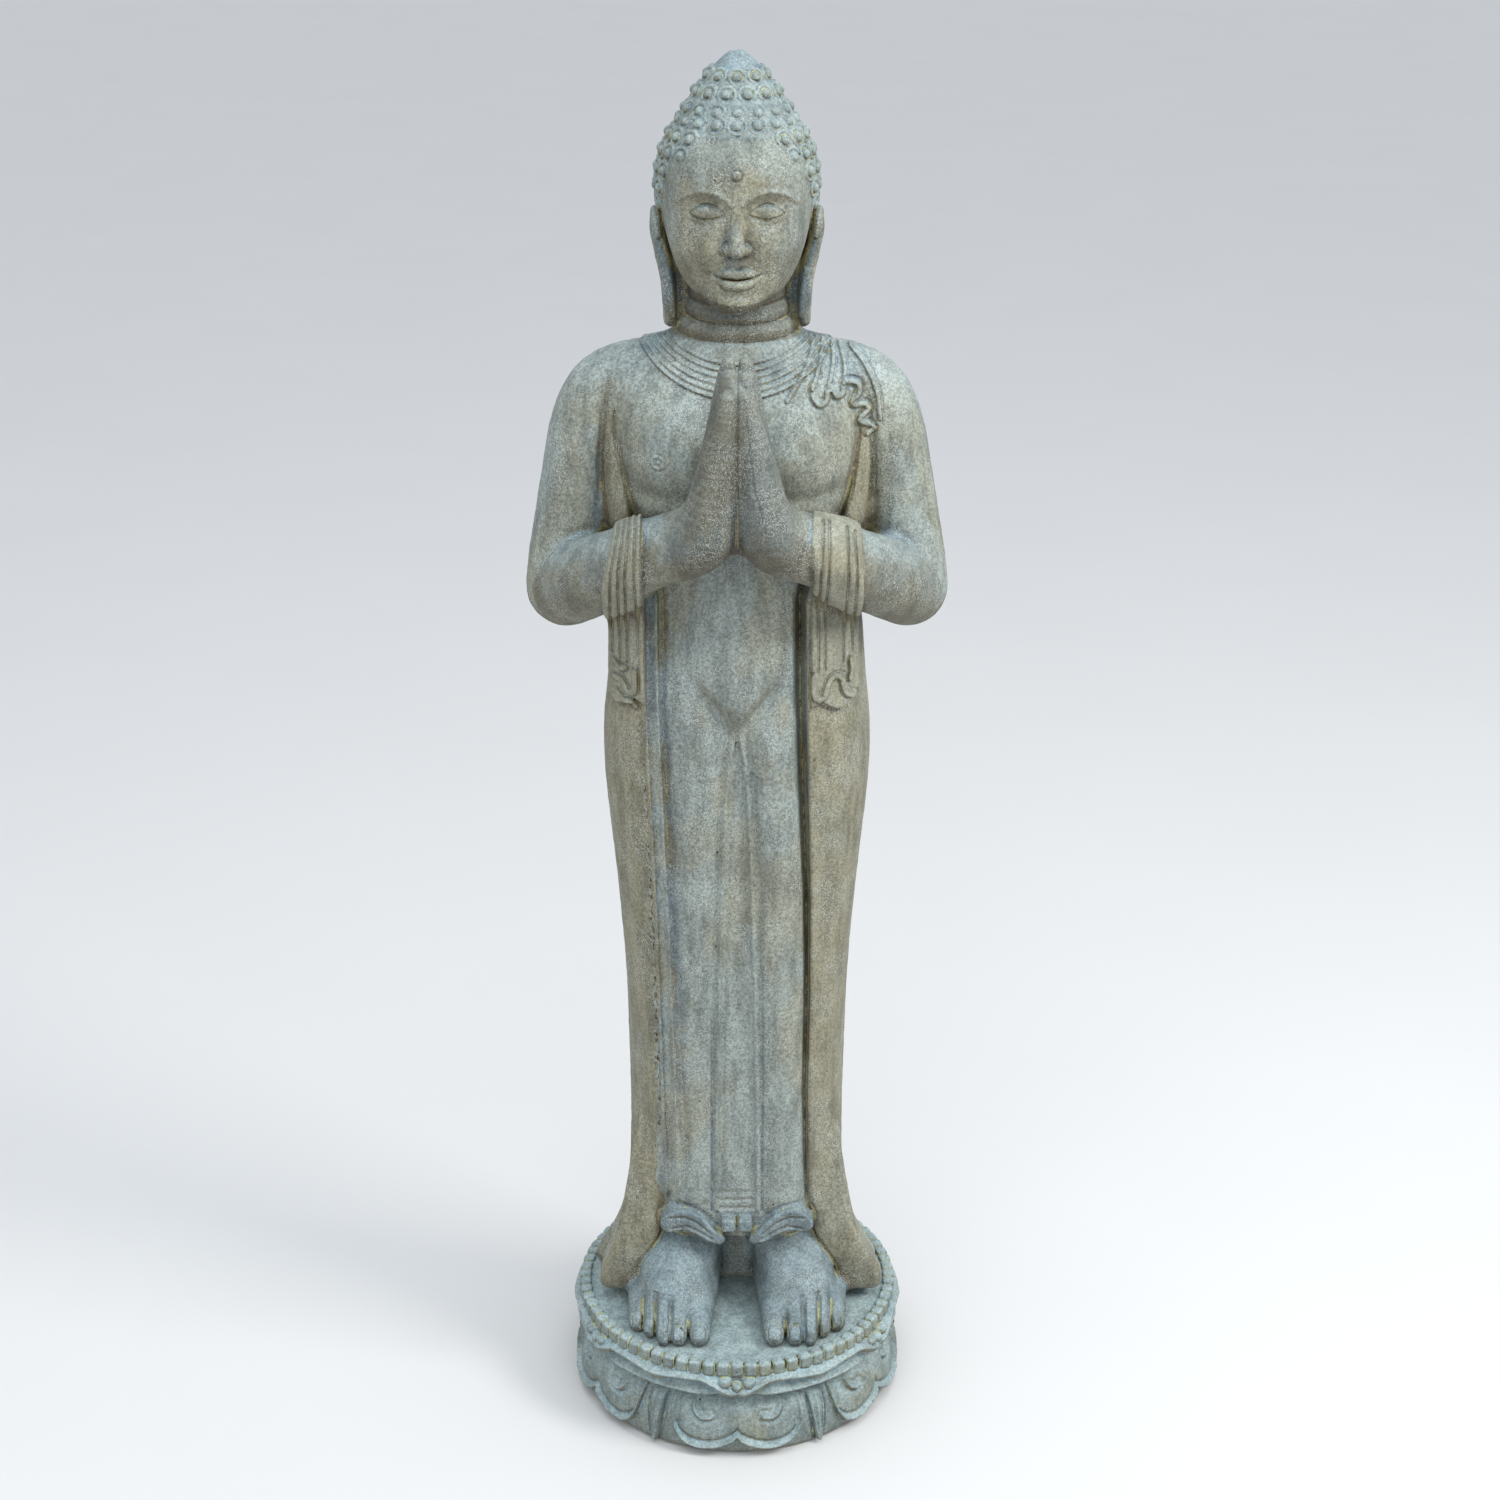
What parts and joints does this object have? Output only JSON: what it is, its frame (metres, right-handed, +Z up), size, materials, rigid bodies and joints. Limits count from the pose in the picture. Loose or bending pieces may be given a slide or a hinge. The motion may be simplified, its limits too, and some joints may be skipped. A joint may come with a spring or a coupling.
{
  "type": "buddha statue",
  "caption": "Standing robed figure with joined palms on a round double lotus base, cast in aged grey-green stone.",
  "frame": {"origin": "on the ground, at the centre of the round base", "axes": "+Z up, the figure faces -Y, +X is the figure's left-hand side"},
  "size_m": [0.3446, 0.304, 1.2],
  "materials": {
    "base_stone": "matt, pitted, with pale ochre patina in the recesses",
    "figure_stone": "matt, fine pinholes, pale patina speckle",
    "robe_stone": "matt, fine pinholes, warm brown-grey patina",
    "hair_stone": "matt, pale patina between the curls",
    "armature_steel": "raw reinforcing steel, lightly rusted"
  },
  "bodies": {
    "root": {"lower_tier": "base_stone", "lower_petals": "base_stone", "lower_darts": "base_stone", "upper_tier": "base_stone", "upper_petals": "base_stone", "trefoil_bosses": "base_stone", "bead_ring": "base_stone", "right_foot": "figure_stone", "left_foot": "figure_stone", "abdomen": "figure_stone", "chest": "figure_stone", "right_upper_arm": "figure_stone", "left_upper_arm": "figure_stone", "right_forearm": "figure_stone", "left_forearm": "figure_stone", "right_hand": "figure_stone", "left_hand": "figure_stone", "neck": "figure_stone", "head": "figure_stone", "right_ear": "figure_stone", "left_ear": "figure_stone", "forehead_dot": "figure_stone", "right_hem": "robe_stone", "left_hem": "robe_stone", "skirt": "robe_stone", "front_pleat": "robe_stone", "right_robe_fall": "robe_stone", "left_robe_fall": "robe_stone", "back_robe": "robe_stone", "right_sleeve": "robe_stone", "left_sleeve": "robe_stone", "right_sleeve_scroll": "robe_stone", "left_sleeve_scroll": "robe_stone", "collar_folds": "robe_stone", "shoulder_sash": "robe_stone", "sash_scroll": "robe_stone", "hair_cap": "hair_stone", "hair_curls": "hair_stone", "topknot": "hair_stone", "topknot_curls": "hair_stone", "armature_uprights": "armature_steel", "armature_ties": "armature_steel", "right_arm_bar": "armature_steel", "left_arm_bar": "armature_steel"}
  },
  "joints": []
}
